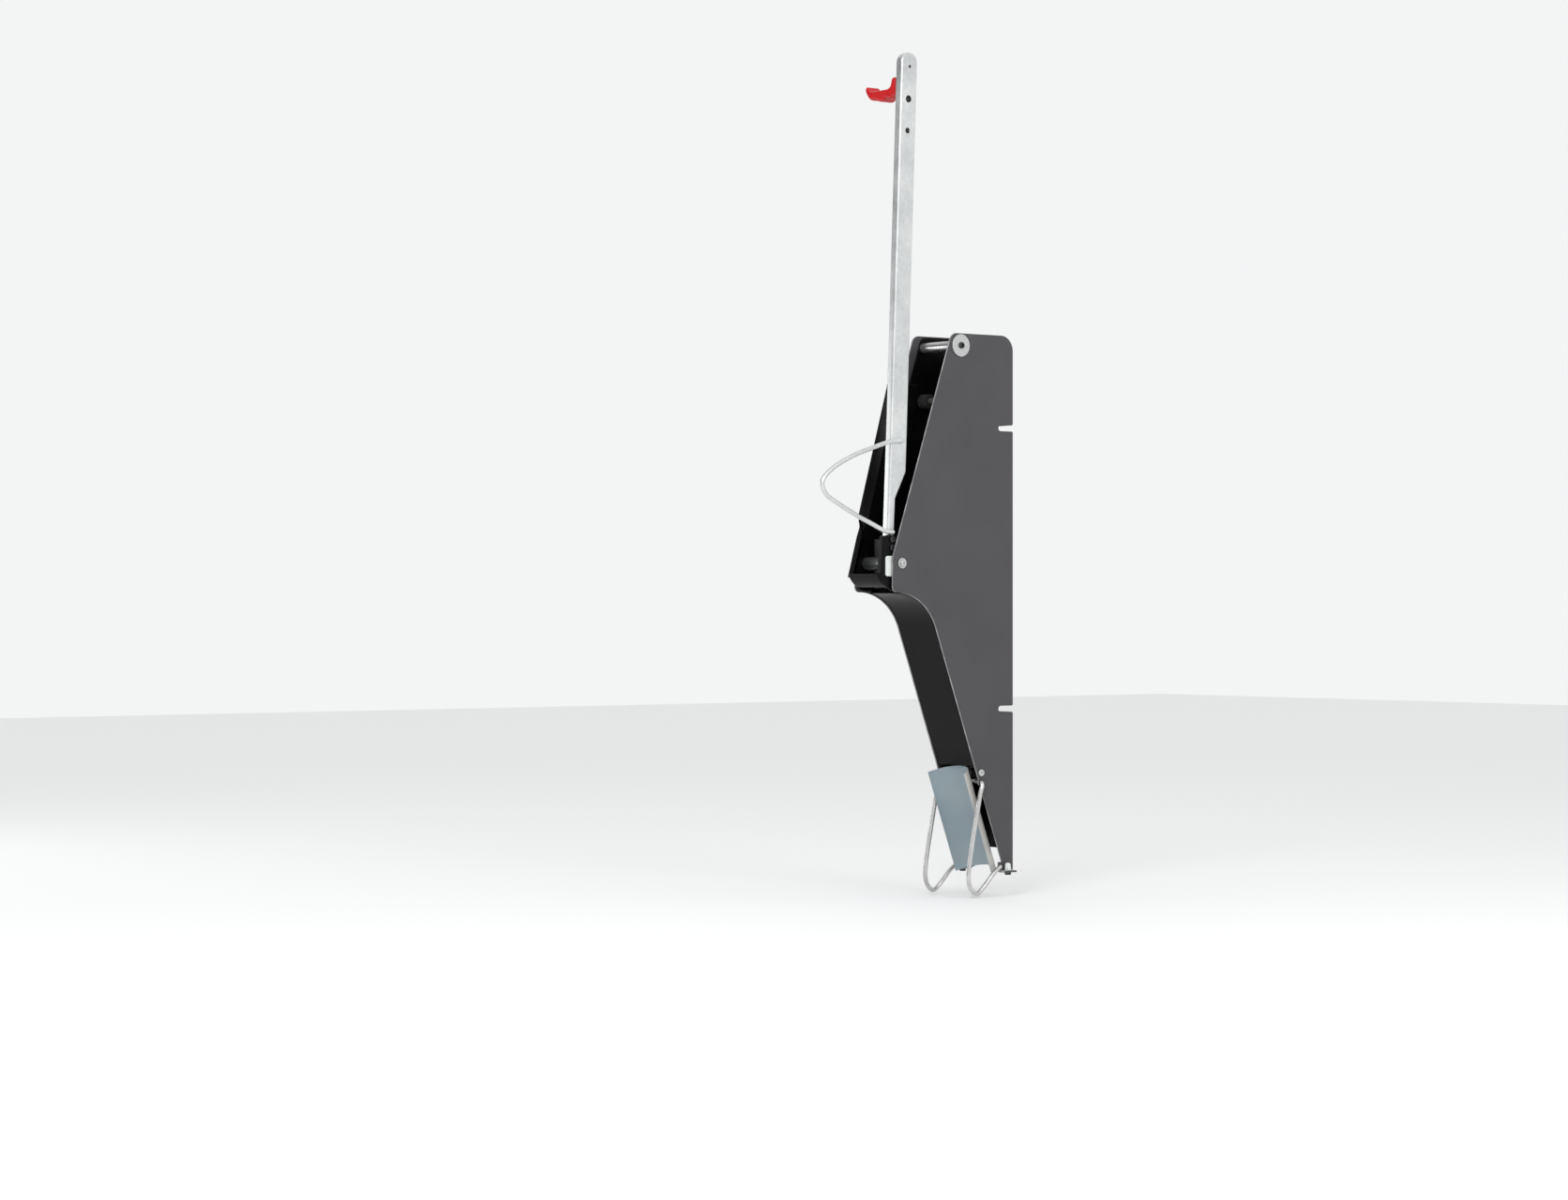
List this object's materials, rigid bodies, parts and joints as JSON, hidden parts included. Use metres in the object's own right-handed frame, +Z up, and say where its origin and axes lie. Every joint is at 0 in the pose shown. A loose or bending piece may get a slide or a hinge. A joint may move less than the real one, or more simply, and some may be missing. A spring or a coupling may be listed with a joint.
{
  "type": "bicycle wall rack",
  "caption": "Narrow steel wall rack that lifts and holds a bicycle upright: sprung swinging arm with a rim hook, tyre cradle and lower wheel guide.",
  "frame": {"origin": "centre of the wall face, midway between the upper and the lower hanging slots", "axes": "+X to the right along the wall seen from the front, -Y out from the wall, +Z up"},
  "size_m": [0.122, 0.3827, 1.3037],
  "materials": {
    "anthracite_coat": "fine-textured anthracite powder coat on sheet steel",
    "black_coat": "semi-gloss black powder coat on sheet steel",
    "galvanised": "bright galvanised steel, slightly cloudy",
    "zinc": "bright zinc plate",
    "dark_steel": "black oxide",
    "bare_steel": "drawn bright steel",
    "blue_grey_coat": "satin blue-grey coat on sheet steel",
    "red_plastic": "moulded red plastic, semi-gloss",
    "rubber": "black rubber sleeve",
    "webbing": "woven black webbing",
    "nylon": "natural white nylon"
  },
  "bodies": {
    "housing": {"side_plate_right": "anthracite_coat", "side_plate_left": "anthracite_coat", "guide_wire_right": "bare_steel", "guide_wire_left": "bare_steel", "back_channel": "black_coat", "front_cover": "black_coat", "wheel_trough": "blue_grey_coat", "top_spacer": "bare_steel", "top_disc_right": "zinc", "top_disc_left": "zinc", "top_screw_right": "dark_steel", "top_screw_left": "dark_steel", "pivot_axle": "bare_steel", "thrust_washer_right": "nylon", "thrust_washer_left": "nylon", "pivot_washer_right": "zinc", "pivot_washer_left": "zinc", "pivot_screw_right": "zinc", "pivot_screw_left": "zinc", "lower_screw_right": "zinc", "lower_screw_left": "zinc", "spring_anchor": "bare_steel", "stop_bar": "bare_steel", "stop_buffer": "rubber", "foot_bolt_right": "dark_steel", "foot_bolt_left": "dark_steel", "foot_nut_right": "nylon", "foot_nut_left": "nylon", "spring_right": "bare_steel", "spring_left": "bare_steel", "pull_strap": "webbing"},
    "lever": {"cradle": "black_coat", "pivot_tube": "bare_steel", "strap_drum": "nylon", "strap_wrap": "webbing", "arm_tube": "galvanised", "arm_bolt_lower": "dark_steel", "arm_bolt_upper": "dark_steel", "cradle_side_pad": "nylon", "side_loop": "galvanised", "rim_hook": "red_plastic", "hook_bracket": "zinc", "hook_screw_upper": "dark_steel", "hook_screw_lower": "dark_steel"},
    "yoke": {"spring_yoke": "zinc"}
  },
  "joints": [
    {"name": "lever_hinge", "type": "hinge", "parent": "housing", "child": "lever", "pos_m": [0, -0.227, 0.007], "axis": [1, 0, 0], "range_deg": [0, 100], "stiffness_Nm_per_rad": 14, "springref_deg": -40.11, "deforming": ["pull_strap"]},
    {"name": "yoke_slide", "type": "slide", "parent": "housing", "child": "yoke", "axis": [0, -0.4147, 0.91], "range_m": [0, 0.0617], "deforming": ["spring_right", "spring_left"]}
  ],
  "couplings": [
    {"joint": "yoke_slide", "follows": "lever_hinge", "m_per_rad": 0.0353}
  ]
}
